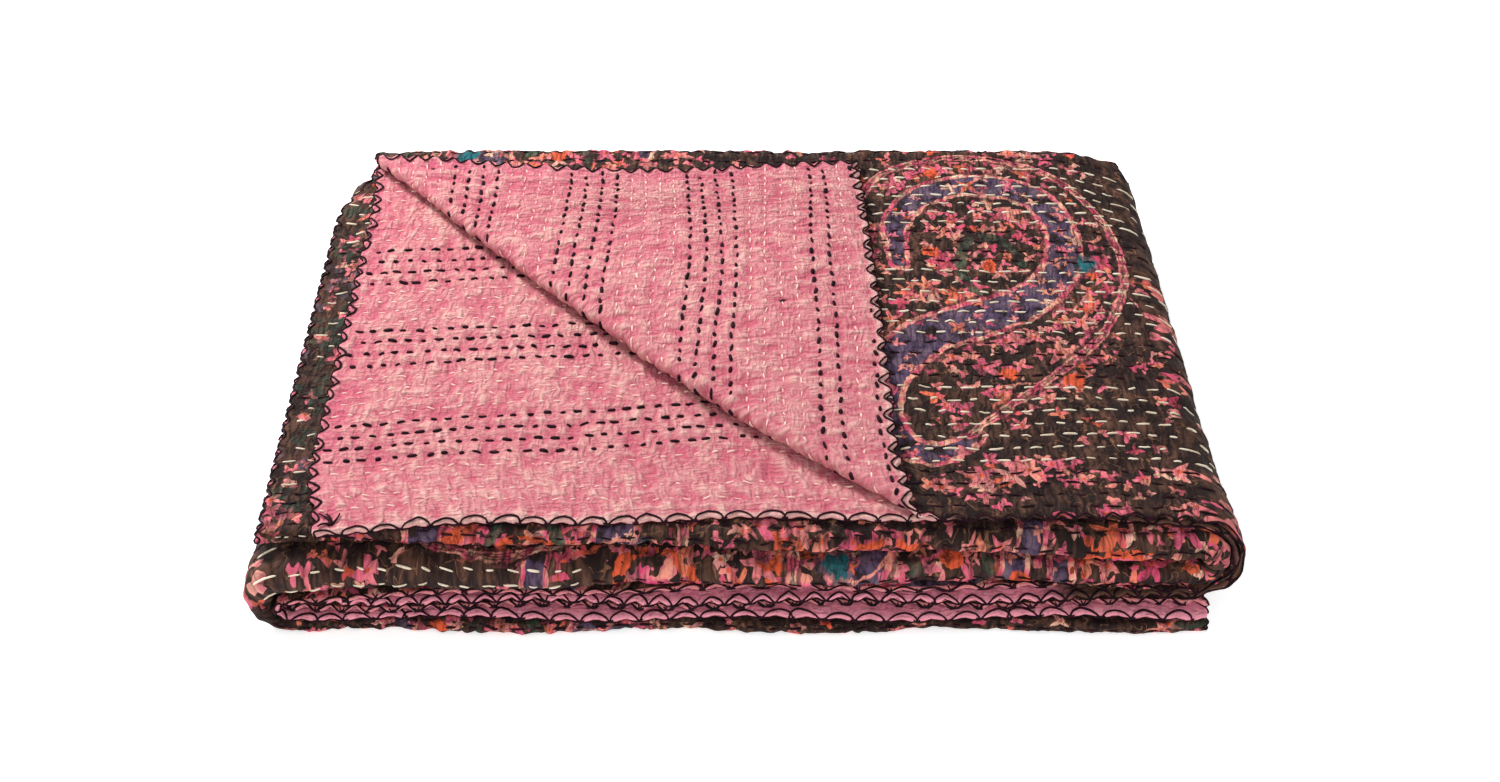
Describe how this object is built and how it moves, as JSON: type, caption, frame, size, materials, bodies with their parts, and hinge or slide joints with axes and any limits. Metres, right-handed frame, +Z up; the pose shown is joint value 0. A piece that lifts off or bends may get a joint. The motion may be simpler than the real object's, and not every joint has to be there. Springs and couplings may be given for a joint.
{
  "type": "kantha quilt, folded",
  "caption": "Folded cotton kantha quilt: dark paisley print outside, mottled pink reverse, corner turned back, running stitch rows and overcast edges.",
  "frame": {"origin": "middle of the underside of the folded quilt's bounding box", "axes": "+Z up from the table, +X along the long side of the folded pile towards its tall roll, -Y towards the raw front edges"},
  "size_m": [0.9794, 0.6544, 0.132],
  "materials": {
    "quilt_cloth": "matte printed cotton"
  },
  "bodies": {
    "root": {"quilt": "quilt_cloth"}
  },
  "joints": []
}
